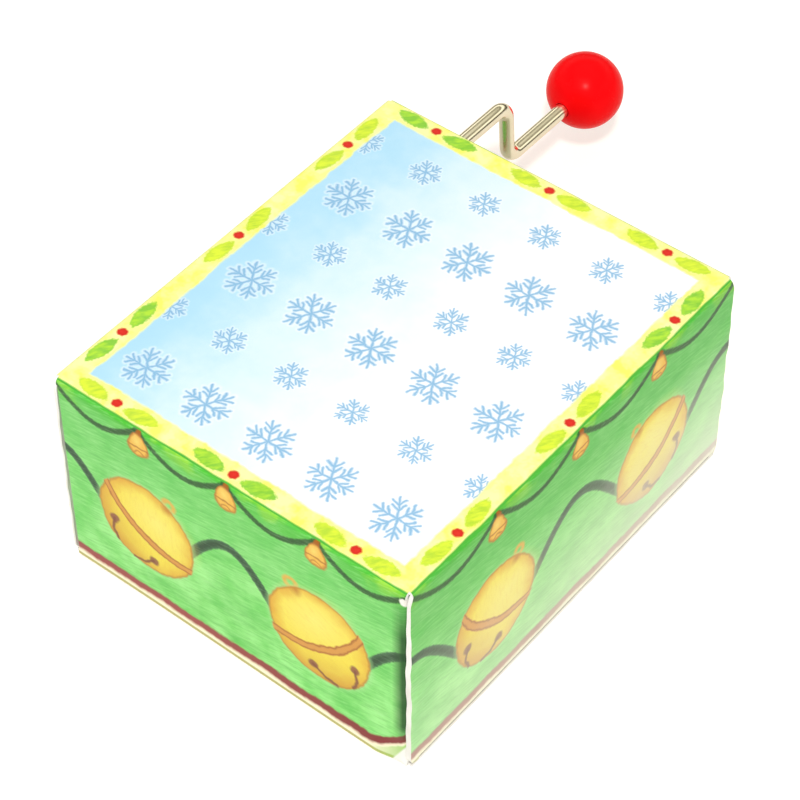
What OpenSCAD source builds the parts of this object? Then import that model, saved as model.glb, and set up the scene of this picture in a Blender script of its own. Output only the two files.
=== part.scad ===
// Hand-crank music box in a paperboard carton.
// Origin: centre of the carton's bottom face. +X runs along the front, +Y points towards the
// crank, +Z is up. The carton is a tube along X, closed by a folding lid at each end.

/* [Carton] */
// Width of the carton, along X
carton_w = 52; // [52:1:60]
// Depth of the carton, along Y
carton_d = 61.5; // [60:0.5:70]
// Height of the carton, along Z
carton_h = 31; // [30:1:37]
// Thickness of the paperboard
board_t = 0.5; // [0.4:0.05:0.55]
// Length of the tuck flap on each closure
tuck_len = 9; // [6:0.5:9.5]
// How far each dust flap reaches in from its crease
dust_len = 22; // [14:1:24]
// Height of the glue flap inside the left wall
glue_flap_h = 10; // [6:1:11]

/* [Crank] */
// Distance from the carton's left face to the crank shaft
crank_inset = 6; // [6:0.5:9]
// Height of the crank shaft above the bottom face
crank_z = 21.5; // [21.25:0.25:22]
// Diameter of the crank wire
wire_d = 2; // [1.8:0.1:2.1]
// Distance from the rear face to the crank arm
crank_reach = 16.5; // [14:0.5:20]
// Length of the crank arm, centre to centre
crank_arm = 9; // [8:0.5:11]
// How far the crank arm leans from straight down, in degrees
crank_lean = 3.2; // [0:0.2:6]
// Distance from the crank arm to the middle of the knob
handle_len = 17.4; // [14:0.2:22]
// Diameter of the ball knob
knob_d = 10.5; // [9:0.5:12]
// Centreline radius of each bend in the wire
bend_r = 2; // [1.6:0.1:3]

/* [Movement] */
// Number of comb teeth
comb_teeth = 18; // [15:1:20]
// Distance from one comb tooth to the next
tooth_pitch = 1.15; // [1.1:0.05:1.2]
// Distance from the carton's middle to the cylinder, along Y
cylinder_y = 7; // [6:0.5:8]
// Outer diameter of the pinned cylinder
sleeve_d = 13; // [12.4:0.2:13]
// How far each music pin stands out of the sleeve
pin_h = 0.8; // [0.5:0.1:0.8]
// Number of pins on each comb tooth's track
pins_per_track = 3; // [1:1:4]
// Thickness of the wooden sound board
sound_board_t = 3.5; // [3:0.25:3.5]
// Thickness of the cast bedplate
bedplate_t = 2; // [1.6:0.2:2]

/* [Worm drive] */
// Number of teeth on the worm wheel
wheel_teeth = 22; // [20:1:22]
// Gear module of the worm drive
gear_module = 0.5; // [0.45:0.01:0.5]
// Pitch radius of the worm
worm_pitch_r = 2; // [1.9:0.05:2]
// Width of the worm wheel's rim
wheel_w = 2.4; // [2:0.1:2.6]

/* [Hidden] */
$fn = 48;
half_w = carton_w / 2;
half_d = carton_d / 2;
gap = 0.05;                     // clearance between parts that pass or turn
seam = 0.03;                    // clearance left in a crease
eps = 0.01;                     // overshoot of a cut
arc_steps = 6;                  // segments in one rounded corner of an outline
far = 200;                      // longer than any part of the carton

// Carton, drawn as a tube along its own Y and then turned to lie along X
half_across = carton_d / 2;
half_along = carton_w / 2;
corner_r = board_t;                         // outer radius of the tube's long creases
lid_half_w = half_across - 0.1;
lid_low_z = board_t + 0.1;                  // outer lower crease of each lid
lid_corner_r = 1;
tuck_tilt = 6;                              // how far the tuck flap rises from level
tuck_half_w = half_across - 3 * board_t;
tuck_taper = 2;
tuck_corner_r = 4;
dust_y = half_along - board_t - gap;        // outer face of the dust flaps
dust_low_z = lid_low_z + board_t + 0.5;
dust_top_z = carton_h - board_t - 0.4;
dust_low_rise = 3;                          // how far the lower edge rises to the flap's tip
dust_top_drop = dust_len * 0.27;            // how far the top edge falls to the flap's tip
dust_corner_r = 3;
glue_flap_half_l = half_along - tuck_len - 2;
crank_hole_r = wire_d / 2 + 1.2;

// Worm drive
crank_x = -half_w + crank_inset;
crank_corner_y = half_d + crank_reach;
knob_y = crank_corner_y + handle_len;
wire_r = wire_d / 2;
axial_pitch = PI * gear_module;
wheel_pitch_r = wheel_teeth * gear_module / 2;
cylinder_z = crank_z - worm_pitch_r - wheel_pitch_r;
wheel_tip_r = wheel_pitch_r + 0.9 * gear_module;
wheel_root_r = wheel_pitch_r - 1.2 * gear_module;
wheel_hub_r = 2.4;
wheel_tip_half = 0.16;                      // half the tooth's width at its tip, and at its root
wheel_root_half = 0.42;
worm_tip_r = worm_pitch_r + 0.9 * gear_module;
worm_root_r = worm_pitch_r - 1.2 * gear_module;
worm_crest_half = 0.12;
worm_foot_half = 0.36;
worm_turns = 4;
worm_thread_l = worm_turns * axial_pitch;
worm_steps = 30;                            // points round the worm's cross section
worm_slices = 12;                           // slices in one turn of the thread

// Levels and places of the movement
bedplate_z = board_t + sound_board_t;
bed_top_z = bedplate_z + bedplate_t;
arbor_r = 1;
post_t = 1.8;
post_half_w = 3.6;
post_foot_half_w = 4.6;
post_foot_t = 1.5;
post_x = crank_x - 4.6;                     // outer face of the left bearing post
end_play = 0.15;                            // gap between the cylinder and each of its bearings
wheel_hub_x = post_x + post_t + end_play;
sleeve_x = crank_x + worm_tip_r + 0.2;      // the sleeve starts clear of the worm
sleeve_r = sleeve_d / 2;
sleeve_wall = 0.8;
cap_t = 1.2;
cap_boss_r = 2;
comb_w = comb_teeth * tooth_pitch;
sleeve_l = comb_w + 1.8;
sleeve_end_x = sleeve_x + sleeve_l;
bracket_x = sleeve_end_x + 1.5;             // inner face of the right bearing bracket
bracket_t = 1.5;
sweep_r = sleeve_r + pin_h;                 // circle that the pin tips run on
pin_r = 0.2;
pin_root = 0.5;                             // how deep each pin sits in the sleeve
comb_x = sleeve_x + 0.9;                    // left edge of the first tooth
comb_tip_y = cylinder_y - sweep_r - gap;
comb_base_y = -19.4;
comb_top_z = cylinder_z + 0.2;
comb_base_t = 1.6;
tooth_t = 0.6;
tooth_gap = 0.2;
bass_len = 13;
treble_len = 10;
comb_edge = 1.1;                            // comb base beyond the outer teeth
weighted_teeth = 8;
pad_y = comb_tip_y - bass_len - 0.4;        // rear edge of the ledge under the comb
frame_half = 6.8;                           // cylinder axis to the inner faces of the crank frame
frame_t = 1.5;
frame_half_w = 2.2;
frame_foot = 5;
frame_base_t = 1.2;
bush_r = 1.8;
bush_flange_r = 2.1;
bush_rear_l = 0.3;                          // how far each bush stands out behind its post
washer_r = 2;
bush_flange_t = 0.4;
washer_t = 0.3;
worm_half_l = frame_half - bush_flange_t - washer_t - 0.1;
bed_right_x = bracket_x + 8;
bed_front_y = comb_base_y - 5.6;
bed_rear_y = 20;

// Fasteners
machine_r = 0.9;
machine_head_r = 1.8;
machine_head_t = 1.2;
wood_r = 1.1;
wood_head_r = 2.2;
wood_head_t = 1.4;
wood_hole_r = 1.4;
bed_washer_r = 2.6;
bed_washer_t = 0.4;
comb_screw_y = comb_base_y + 2.9;
comb_screw_xs = [comb_x + 2.4, comb_x + comb_w / 2, comb_x + comb_w - 2.4];
wood_screw_xs = [-half_along + tuck_len + 4.2, bed_right_x - 2.9];
wood_screw_ys = [bed_front_y + 2.8, bed_rear_y - 2.9];
wood_screw_places = [for (x = wood_screw_xs, y = wood_screw_ys) [x, y]];
bracket_foot_l = 4.6;
bracket_half_w = 4;
bracket_eye_r = 3;
bracket_screw_half = 2.2;                   // cylinder axis to each bracket screw
screw_clearance = 0.2;                      // play of a machine screw in the part it holds
screw_grip = 1.4;                           // how far a machine screw reaches into the bedplate
comb_screw_grip = 3.5;
bracket_screw_ys = [cylinder_y - bracket_screw_half, cylinder_y + bracket_screw_half];
bracket_screw_x = bracket_x + bracket_t + 2.4;
frame_screw_ys = [
    cylinder_y - frame_half - frame_t - frame_foot / 2,
    cylinder_y + frame_half + frame_t + frame_foot / 2 - 0.4
];

// Knob
knob_r = knob_d / 2;
bore_r = wire_r + gap;
bead_r = wire_r + 0.3;
bead_half_l = 0.5;
bore_depth_past_middle = 2.2;
mouth_r = 1.7;
mouth_depth = 0.8;

// ---- Outlines -------------------------------------------------------------------------

function unit(v) = v / norm(v);

// Points of the arc that rounds corner b of the path a-b-c
function corner_arc(a, b, c, r) =
    r <= 0 ? [b] :
    let (
        u = unit(a - b),
        v = unit(c - b),
        half = acos(u * v) / 2,
        centre = b + unit(u + v) * (r / sin(half)),
        first = b + u * (r / tan(half)) - centre,
        last = b + v * (r / tan(half)) - centre,
        start = atan2(first[1], first[0]),
        turn = atan2(last[1], last[0]) - start,
        sweep = turn > 180 ? turn - 360 : turn < -180 ? turn + 360 : turn
    )
    [for (i = [0:arc_steps]) let (t = start + sweep * i / arc_steps) centre + r * [cos(t), sin(t)]];

// A polygon's points with each corner rounded to its own radius
function rounded(points, radii) =
    let (n = len(points))
    [for (i = [0:n - 1])
        each corner_arc(points[(i + n - 1) % n], points[i], points[(i + 1) % n], radii[i])];

function box_points(x0, y0, x1, y1) = [[x0, y0], [x1, y0], [x1, y1], [x0, y1]];

// Extrudes an outline drawn in (x, z) along Y, from y0 to y1
module plate_y(y0, y1) {
    translate([0, y1, 0]) rotate([90, 0, 0]) linear_extrude(y1 - y0) children();
}

// Extrudes an outline drawn in (y, z) along X, from -half to half
module plate_x(half) {
    translate([-half, 0, 0]) rotate([90, 0, 90]) linear_extrude(2 * half) children();
}

module rod_x(x0, x1, r) {
    translate([x0, 0, 0]) rotate([0, 90, 0]) cylinder(h = x1 - x0, r = r);
}

module rod_y(y0, y1, r) {
    translate([0, y0, 0]) rotate([-90, 0, 0]) cylinder(h = y1 - y0, r = r);
}

// ---- Carton ---------------------------------------------------------------------------

// Turns the tube and its end pieces so that their +Y end becomes the carton's right end
module along_x() {
    rotate([0, 0, -90]) children();
}

// Cuts for the +Y end of the tube
module tube_end_cuts() {
    // the side walls stop short, so that the dust flaps fold behind the lid
    for (side = [-1, 1])
        translate([side * half_across - 1.5, dust_y, board_t])
            cube([3, far, carton_h - 2 * board_t]);
    // mitre inside each side wall's end
    for (side = [0, 1])
        mirror([side, 0, 0])
            translate([0, 0, board_t])
                linear_extrude(carton_h - 2 * board_t)
                    polygon([[half_across - board_t - eps, dust_y - board_t - eps],
                             [half_across + eps, dust_y + eps],
                             [half_across - board_t - eps, dust_y + eps]]);
    // mitre under the top panel's end
    plate_x(far / 2)
        polygon([[half_along - board_t, carton_h - board_t - eps],
                 [half_along + 1, carton_h - board_t - eps],
                 [half_along + 1, carton_h + 1], [half_along, carton_h]]);
    // the bottom panel ends just inside the lid's face
    translate([-far / 2, half_along - 0.1, -1]) cube([far, far, 1 + board_t + eps]);
}

module carton_tube() {
    color("yellowgreen") {
        difference() {
            along_x() difference() {
                plate_y(-half_along, half_along)
                    polygon(rounded(box_points(-half_across, 0, half_across, carton_h),
                                    [corner_r, corner_r, corner_r, corner_r]));
                translate([-half_across + board_t, -far / 2, board_t])
                    cube([carton_d - 2 * board_t, far, carton_h - 2 * board_t]);
                tube_end_cuts();
                mirror([0, 1, 0]) tube_end_cuts();
            }
            // hole in the rear wall for the crank
            translate([crank_x, 0, crank_z]) rod_y(half_d - 2, half_d + 1, crank_hole_r);
        }
        // glue flap, folded up from the bottom panel inside the rear wall
        translate([-glue_flap_half_l, half_d - 2 * board_t, board_t - eps])
            cube([2 * glue_flap_half_l, board_t + eps, glue_flap_h]);
    }
}

// The lid of the +Y end
module lid_panel() {
    intersection() {
        plate_x(lid_half_w)
            polygon([[half_along, carton_h - seam], [half_along - board_t, carton_h - board_t - seam],
                     [half_along - board_t, lid_low_z + board_t], [half_along, lid_low_z]]);
        plate_y(half_along - 1, half_along + 1)
            polygon(rounded(box_points(-lid_half_w, lid_low_z, lid_half_w, carton_h),
                            [lid_corner_r, lid_corner_r, 0, 0]));
    }
}

// The tuck flap of the +Y end: it hangs on the lid's lower crease and tilts up inside
module tuck_panel() {
    translate([0, half_along - board_t, lid_low_z + board_t]) rotate([-tuck_tilt, 0, 0])
        intersection() {
            plate_x(tuck_half_w)
                polygon([[0, -seam], [-tuck_len, -seam], [-tuck_len, -board_t],
                         [board_t - seam, -board_t]]);
            translate([0, 0, -1])
                linear_extrude(2)
                    polygon(rounded([[-tuck_half_w, 1], [-tuck_half_w + tuck_taper, -tuck_len],
                                     [tuck_half_w - tuck_taper, -tuck_len], [tuck_half_w, 1]],
                                    [0, tuck_corner_r, tuck_corner_r, 0]));
        }
}

// A dust flap of the +Y end, creased to the wall on the +X side
module dust_panel() {
    tip = half_across - dust_len;
    intersection() {
        linear_extrude(carton_h)
            polygon([[half_across - seam, dust_y], [tip, dust_y], [tip, dust_y - board_t],
                     [half_across - board_t - seam, dust_y - board_t]]);
        plate_y(dust_y - 1, dust_y + 1)
            polygon(rounded([[half_across, dust_low_z], [half_across, dust_top_z],
                             [tip, dust_top_z - dust_top_drop], [tip, dust_low_z + dust_low_rise]],
                            [0, 0, dust_corner_r, dust_corner_r]));
    }
}

module right_lid() {
    color("limegreen") along_x() lid_panel();
}

module right_tuck_flap() {
    color("ivory") along_x() tuck_panel();
}

module right_dust_flap_front() {
    color("ivory") along_x() dust_panel();
}

module right_dust_flap_rear() {
    color("ivory") along_x() mirror([1, 0, 0]) dust_panel();
}

module left_lid() {
    color("limegreen") mirror([1, 0, 0]) along_x() lid_panel();
}

module left_tuck_flap() {
    color("ivory") mirror([1, 0, 0]) along_x() tuck_panel();
}

module left_dust_flap_front() {
    color("ivory") mirror([1, 0, 0]) along_x() dust_panel();
}

module left_dust_flap_rear() {
    color("ivory") mirror([1, 0, 0]) along_x() mirror([1, 0, 0]) dust_panel();
}

// ---- Bed and its fasteners ------------------------------------------------------------

module sound_board() {
    board_half_w = half_along - tuck_len - 0.7;
    color("burlywood") difference() {
        translate([0, 0, board_t])
            linear_extrude(sound_board_t)
                polygon(rounded(box_points(-board_half_w, bed_front_y - 1, board_half_w,
                                           bed_rear_y + 1), [1, 1, 1, 1]));
        for (p = wood_screw_places)
            translate([p[0], p[1], board_t + 0.4]) cylinder(h = far, r = wood_r);
    }
}

// The ledge that carries the comb, following the slant of its teeth
module comb_ledge() {
    ledge_l = comb_x - comb_edge;
    ledge_r = comb_x + comb_w + comb_edge;
    slant = bass_len - treble_len;
    translate([0, 0, bed_top_z - eps])
        linear_extrude(comb_top_z - comb_base_t - bed_top_z + eps)
            polygon([[ledge_l, comb_base_y], [ledge_r, comb_base_y],
                     [ledge_r, pad_y + slant], [ledge_l, pad_y]]);
}

module bearing_post() {
    translate([post_x, cylinder_y - post_half_w, bed_top_z - eps])
        cube([post_t, 2 * post_half_w, cylinder_z - bed_top_z + eps]);
    translate([post_x, cylinder_y - post_foot_half_w, bed_top_z - eps])
        cube([post_t, 2 * post_foot_half_w, post_foot_t]);
    on_cylinder_axis() rod_x(post_x, post_x + post_t, post_half_w);
}

module bedplate() {
    color("silver") difference() {
        union() {
            translate([0, 0, bedplate_z])
                linear_extrude(bedplate_t)
                    polygon(rounded(box_points(post_x, bed_front_y, bed_right_x, bed_rear_y),
                                    [2, 2, 2, 2]));
            comb_ledge();
            bearing_post();
        }
        on_cylinder_axis() rod_x(post_x - 1, post_x + post_t + 1, arbor_r + gap);
        for (p = wood_screw_places)
            translate([p[0], p[1], bedplate_z - 1]) cylinder(h = bedplate_t + 2, r = wood_hole_r);
        for (x = comb_screw_xs)
            translate([x, comb_screw_y, comb_top_z - comb_base_t - 4]) cylinder(h = far, r = machine_r);
        for (y = bracket_screw_ys)
            translate([bracket_screw_x, y, bedplate_z + 0.4]) cylinder(h = far, r = machine_r);
        for (y = frame_screw_ys)
            translate([crank_x, y, bedplate_z + 0.4]) cylinder(h = far, r = machine_r);
    }
}

// A pan-head screw that stands on level z, with a cross recess in its head
module pan_screw(z, shank_l, shank_r, head_r, head_t) {
    difference() {
        union() {
            translate([0, 0, z - shank_l]) cylinder(h = shank_l + eps, r = shank_r);
            translate([0, 0, z]) cylinder(h = head_t * 0.5, r = head_r);
            translate([0, 0, z + head_t * 0.5 - eps])
                cylinder(h = head_t * 0.5, r1 = head_r, r2 = head_r * 0.7);
        }
        for (a = [0, 90])
            translate([0, 0, z + head_t]) rotate([0, 0, a])
                cube([head_r * 1.1, head_r * 0.25, head_t], center = true);
    }
}

module bedplate_screws() {
    top = bed_top_z + bed_washer_t;
    color("gray")
        for (p = wood_screw_places)
            translate([p[0], p[1], 0])
                pan_screw(top, top - board_t - 0.5, wood_r, wood_head_r, wood_head_t);
}

module bedplate_washers() {
    color("silver")
        for (p = wood_screw_places)
            translate([p[0], p[1], bed_top_z]) difference() {
                cylinder(h = bed_washer_t, r = bed_washer_r);
                translate([0, 0, -1]) cylinder(h = 3, r = wood_hole_r);
            }
}

// ---- Comb -----------------------------------------------------------------------------

function tooth_len(i) = bass_len + (treble_len - bass_len) * (i + 0.5) / comb_teeth;

module comb() {
    base_l = comb_x - comb_edge;
    base_r = comb_x + comb_w + comb_edge;
    slant = bass_len - treble_len;
    color("lightsteelblue") difference() {
        union() {
            translate([0, 0, comb_top_z - comb_base_t])
                linear_extrude(comb_base_t)
                    polygon([[base_l, comb_base_y], [base_r, comb_base_y],
                             [base_r, comb_tip_y - treble_len], [comb_x + comb_w, comb_tip_y - treble_len],
                             [comb_x, comb_tip_y - treble_len - slant],
                             [base_l, comb_tip_y - treble_len - slant]]);
            for (i = [0:comb_teeth - 1])
                translate([comb_x + i * tooth_pitch + tooth_gap / 2,
                           comb_tip_y - tooth_len(i) - 1, comb_top_z - tooth_t])
                    cube([tooth_pitch - tooth_gap, tooth_len(i) + 1, tooth_t]);
        }
        for (x = comb_screw_xs)
            translate([x, comb_screw_y, 0]) cylinder(h = far, r = machine_r + screw_clearance);
    }
}

module tuning_weights() {
    weight_l = 3.4;
    weight_h = 3.2;                         // depth of the longest tooth's weight
    weight_step = 0.26;                     // how much less each next one hangs down
    color("dimgray")
        for (i = [0:weighted_teeth - 1])
            let (h = weight_h - weight_step * i)
                translate([comb_x + i * tooth_pitch + tooth_gap,
                           comb_tip_y - 1.2 - weight_l, comb_top_z - tooth_t - h])
                    cube([tooth_pitch - 2 * tooth_gap, weight_l, h]);
}

module comb_screws() {
    color("gray")
        for (x = comb_screw_xs)
            translate([x, comb_screw_y, 0])
                pan_screw(comb_top_z, comb_base_t + comb_screw_grip, machine_r, machine_head_r,
                          machine_head_t);
}

// ---- Pinned cylinder ------------------------------------------------------------------

module arbor_bracket() {
    color("gold") difference() {
        union() {
            translate([bracket_x, cylinder_y - bracket_half_w, bed_top_z])
                cube([bracket_t + bracket_foot_l, 2 * bracket_half_w, bracket_t]);
            translate([bracket_x, cylinder_y - bracket_eye_r, bed_top_z])
                cube([bracket_t, 2 * bracket_eye_r, cylinder_z - bed_top_z]);
            on_cylinder_axis() rod_x(bracket_x, bracket_x + bracket_t, bracket_eye_r);
        }
        on_cylinder_axis() rod_x(bracket_x - 1, bracket_x + bracket_t + 1, arbor_r + gap);
        for (y = bracket_screw_ys)
            translate([bracket_screw_x, y, bed_top_z - 1]) cylinder(h = 4, r = machine_r + screw_clearance);
    }
}

module arbor_bracket_screws() {
    color("gray")
        for (y = bracket_screw_ys)
            translate([bracket_screw_x, y, 0])
                pan_screw(bed_top_z + bracket_t, bracket_t + screw_grip, machine_r,
                          machine_head_r, machine_head_t);
}

module on_cylinder_axis() {
    translate([0, cylinder_y, cylinder_z]) children();
}

module cylinder_arbor() {
    color("silver") on_cylinder_axis()
        rod_x(post_x + 0.2, bracket_x + bracket_t + 1, arbor_r);
}

module worm_wheel() {
    color("white") on_cylinder_axis() difference() {
        union() {
            rod_x(wheel_hub_x, sleeve_x, wheel_hub_r);
            rod_x(crank_x - wheel_w / 2, crank_x + wheel_w / 2, wheel_root_r);
            for (i = [0:wheel_teeth - 1])
                rotate([(i + 0.5) * 360 / wheel_teeth, 0, 0])
                    plate_at_rim() polygon([
                        [-wheel_root_half, wheel_root_r - 0.2], [wheel_root_half, wheel_root_r - 0.2],
                        [wheel_tip_half, wheel_tip_r], [-wheel_tip_half, wheel_tip_r]]);
        }
        rod_x(wheel_hub_x - 1, sleeve_x + 1, arbor_r);
    }
}

// Extrudes a tooth drawn in (y, z) across the wheel's rim
module plate_at_rim() {
    translate([crank_x - wheel_w / 2, 0, 0]) rotate([90, 0, 90]) linear_extrude(wheel_w) children();
}

module cylinder_cap_left() {
    color("goldenrod") on_cylinder_axis() difference() {
        rod_x(sleeve_x, sleeve_x + cap_t, sleeve_r - sleeve_wall);
        rod_x(sleeve_x - 1, sleeve_x + 2, arbor_r);
    }
}

module cylinder_cap_right() {
    color("goldenrod") on_cylinder_axis() difference() {
        union() {
            rod_x(sleeve_end_x - cap_t, sleeve_end_x, sleeve_r - sleeve_wall);
            rod_x(sleeve_end_x - eps, bracket_x - end_play, cap_boss_r);
        }
        rod_x(sleeve_end_x - 2, bracket_x, arbor_r);
    }
}

module cylinder_sleeve() {
    color("gold") on_cylinder_axis() difference() {
        rod_x(sleeve_x, sleeve_end_x, sleeve_r);
        rod_x(sleeve_x - 1, sleeve_end_x + 1, sleeve_r - sleeve_wall);
    }
}

// Pins step round the cylinder in a repeating run of notes
module music_pins() {
    color("silver") on_cylinder_axis()
        for (track = [0:comb_teeth - 1], k = [0:pins_per_track - 1])
            let (step = (track * 7) % comb_teeth,
                 turn = 360 * (step / comb_teeth + k) / pins_per_track)
                translate([comb_x + (track + 0.5) * tooth_pitch, 0, 0]) rotate([turn, 0, 0])
                    translate([0, 0, sleeve_r - pin_root])
                        cylinder(h = pin_h + pin_root, r = pin_r, $fn = 16);
}

// ---- Crank and worm -------------------------------------------------------------------

module on_crank_axis() {
    translate([crank_x, 0, crank_z]) children();
}

// Frame of the crank arm: the crank axis, turned by the lean of the arm
module on_crank_arm() {
    on_crank_axis() rotate([0, -crank_lean, 0]) children();
}

// Repeats a piece in front of and behind the worm
module both_sides_of_worm() {
    for (side = [0, 1])
        translate([0, cylinder_y, 0]) mirror([0, side, 0]) children();
}

module crank_frame() {
    base_half_l = frame_half + frame_t + frame_foot;
    rear_trim = 0.6;
    color("darkgray") difference() {
        union() {
            translate([crank_x - frame_half_w, cylinder_y - base_half_l, bed_top_z])
                cube([2 * frame_half_w, 2 * base_half_l - rear_trim, frame_base_t]);
            both_sides_of_worm() {
                translate([crank_x - frame_half_w, frame_half, bed_top_z])
                    cube([2 * frame_half_w, frame_t, crank_z - bed_top_z]);
                on_crank_axis() rod_y(frame_half, frame_half + frame_t, frame_half_w);
            }
        }
        both_sides_of_worm()
            on_crank_axis() rod_y(frame_half - 1, frame_half + frame_t + 1, bush_r);
        for (y = frame_screw_ys)
            translate([crank_x, y, bed_top_z - 1]) cylinder(h = 4, r = machine_r + screw_clearance);
    }
}

module crank_frame_screws() {
    color("gray")
        for (y = frame_screw_ys)
            translate([crank_x, y, 0])
                pan_screw(bed_top_z + frame_base_t, frame_base_t + screw_grip, machine_r,
                          machine_head_r, machine_head_t);
}

module crank_bushes() {
    color("goldenrod") both_sides_of_worm() on_crank_axis() difference() {
        union() {
            rod_y(frame_half, frame_half + frame_t + bush_rear_l, bush_r);
            rod_y(frame_half - bush_flange_t, frame_half, bush_flange_r);
        }
        rod_y(frame_half - 1, frame_half + frame_t + 1, wire_r + gap);
    }
}

module thrust_washers() {
    color("white") both_sides_of_worm() on_crank_axis()
        translate([0, frame_half - bush_flange_t - washer_t, 0]) difference() {
            rod_y(0, washer_t, washer_r);
            rod_y(-1, 1, wire_r + gap);
        }
}

// Radius of the worm at an axial distance from the middle of its thread
function worm_r(a) =
    let (d = abs(a))
    d <= worm_crest_half ? worm_tip_r :
    d >= worm_foot_half ? worm_root_r :
    worm_root_r + (worm_tip_r - worm_root_r) * (worm_foot_half - d) / (worm_foot_half - worm_crest_half);

// Cross section of the single-start worm, with the crest at the given angle
function worm_section(crest) =
    [for (i = [0:worm_steps - 1])
        let (t = 360 * i / worm_steps, a = (i / worm_steps - (i > worm_steps / 2 ? 1 : 0)) * axial_pitch)
            worm_r(a) * [cos(t + crest), sin(t + crest)]];

module drive_worm() {
    first_crest = 90 - 360 * worm_turns / 2;    // puts a crest straight down at mid length
    color("goldenrod") on_crank_axis() translate([0, cylinder_y, 0]) difference() {
        union() {
            rod_y(-worm_half_l, worm_half_l, worm_root_r + 0.05);
            translate([0, -worm_thread_l / 2, 0]) rotate([-90, 0, 0])
                linear_extrude(worm_thread_l, twist = -360 * worm_turns, slices = worm_turns * worm_slices)
                    polygon(worm_section(first_crest));
        }
        rod_y(-far / 2, far / 2, wire_r);
    }
}

// A right-angle bend in the wire, turning from +Z to +Y about its centre
module wire_bend() {
    rotate([90, 0, 90])
        rotate_extrude(angle = 90) translate([bend_r, 0]) circle(r = wire_r);
}

module crank_rod() {
    tail_y = cylinder_y - frame_half - frame_t - 0.9;
    end_y = knob_y + bore_depth_past_middle - 0.2;
    color("silver") on_crank_arm() {
        rod_y(tail_y, crank_corner_y - bend_r, wire_r);
        translate([0, crank_corner_y - bend_r, -bend_r]) wire_bend();
        translate([0, crank_corner_y, -crank_arm + bend_r])
            cylinder(h = crank_arm - 2 * bend_r, r = wire_r);
        translate([0, crank_corner_y + bend_r, -crank_arm + bend_r]) rotate([180, 0, 0]) wire_bend();
        translate([0, 0, -crank_arm]) {
            rod_y(crank_corner_y + bend_r, end_y, wire_r);
            // upset bead that keeps the knob on
            rod_y(knob_y - bead_half_l, knob_y + bead_half_l, bead_r);
        }
    }
}

module crank_knob() {
    color("red") on_crank_arm() translate([0, knob_y, -crank_arm]) difference() {
        sphere(r = knob_r);
        rod_y(-knob_r - 1, bore_depth_past_middle, bore_r);
        rod_y(-bead_half_l - gap, bead_half_l + gap, bead_r + gap);
        translate([0, -knob_r + mouth_depth, 0]) rotate([90, 0, 0])
            cylinder(h = 1.2, r1 = bore_r, r2 = mouth_r);
    }
}

// ---- Nodes ----------------------------------------------------------------------------

carton_tube();
right_lid();
right_tuck_flap();
right_dust_flap_front();
right_dust_flap_rear();
left_lid();
left_tuck_flap();
left_dust_flap_front();
left_dust_flap_rear();
sound_board();
bedplate();
bedplate_screws();
bedplate_washers();
comb();
tuning_weights();
comb_screws();
arbor_bracket();
arbor_bracket_screws();
cylinder_arbor();
worm_wheel();
cylinder_cap_left();
cylinder_cap_right();
cylinder_sleeve();
music_pins();
crank_frame();
crank_frame_screws();
crank_bushes();
thrust_washers();
drive_worm();
crank_rod();
crank_knob();
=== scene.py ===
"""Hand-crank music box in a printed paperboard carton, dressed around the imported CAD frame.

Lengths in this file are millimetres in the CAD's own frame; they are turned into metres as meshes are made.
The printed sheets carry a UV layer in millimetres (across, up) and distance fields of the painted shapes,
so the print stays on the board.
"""

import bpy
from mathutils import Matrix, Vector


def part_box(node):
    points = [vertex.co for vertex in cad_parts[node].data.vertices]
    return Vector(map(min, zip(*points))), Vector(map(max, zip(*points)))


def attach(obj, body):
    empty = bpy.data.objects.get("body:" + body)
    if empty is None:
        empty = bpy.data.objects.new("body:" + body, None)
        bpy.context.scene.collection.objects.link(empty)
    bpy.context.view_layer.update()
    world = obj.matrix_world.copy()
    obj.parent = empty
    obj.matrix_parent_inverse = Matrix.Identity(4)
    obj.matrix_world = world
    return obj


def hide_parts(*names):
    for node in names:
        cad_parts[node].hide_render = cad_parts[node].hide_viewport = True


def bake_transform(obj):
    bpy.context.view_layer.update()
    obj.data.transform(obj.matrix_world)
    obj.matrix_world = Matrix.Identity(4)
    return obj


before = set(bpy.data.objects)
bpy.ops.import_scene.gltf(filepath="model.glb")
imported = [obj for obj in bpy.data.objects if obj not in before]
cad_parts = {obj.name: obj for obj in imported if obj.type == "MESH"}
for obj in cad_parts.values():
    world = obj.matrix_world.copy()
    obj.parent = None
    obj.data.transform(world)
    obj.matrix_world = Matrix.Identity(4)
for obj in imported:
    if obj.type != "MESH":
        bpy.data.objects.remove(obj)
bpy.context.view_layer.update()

import math

import bpy
import numpy as np
from mathutils import Matrix, Vector

MM = 0.001


def cad_box(node):
    lo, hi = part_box(node)
    return np.array(lo) / MM, np.array(hi) / MM


# ---- Sizes taken from the CAD ------------------------------------------------------------------

tube_lo, tube_hi = cad_box("carton_tube")
lid_lo, lid_hi = cad_box("right_lid")
dust_lo, dust_hi = cad_box("right_dust_flap_front")
_, tuck_hi = cad_box("right_tuck_flap")
knob_lo, knob_hi = cad_box("crank_knob")
rod_lo, rod_hi = cad_box("crank_rod")

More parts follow.
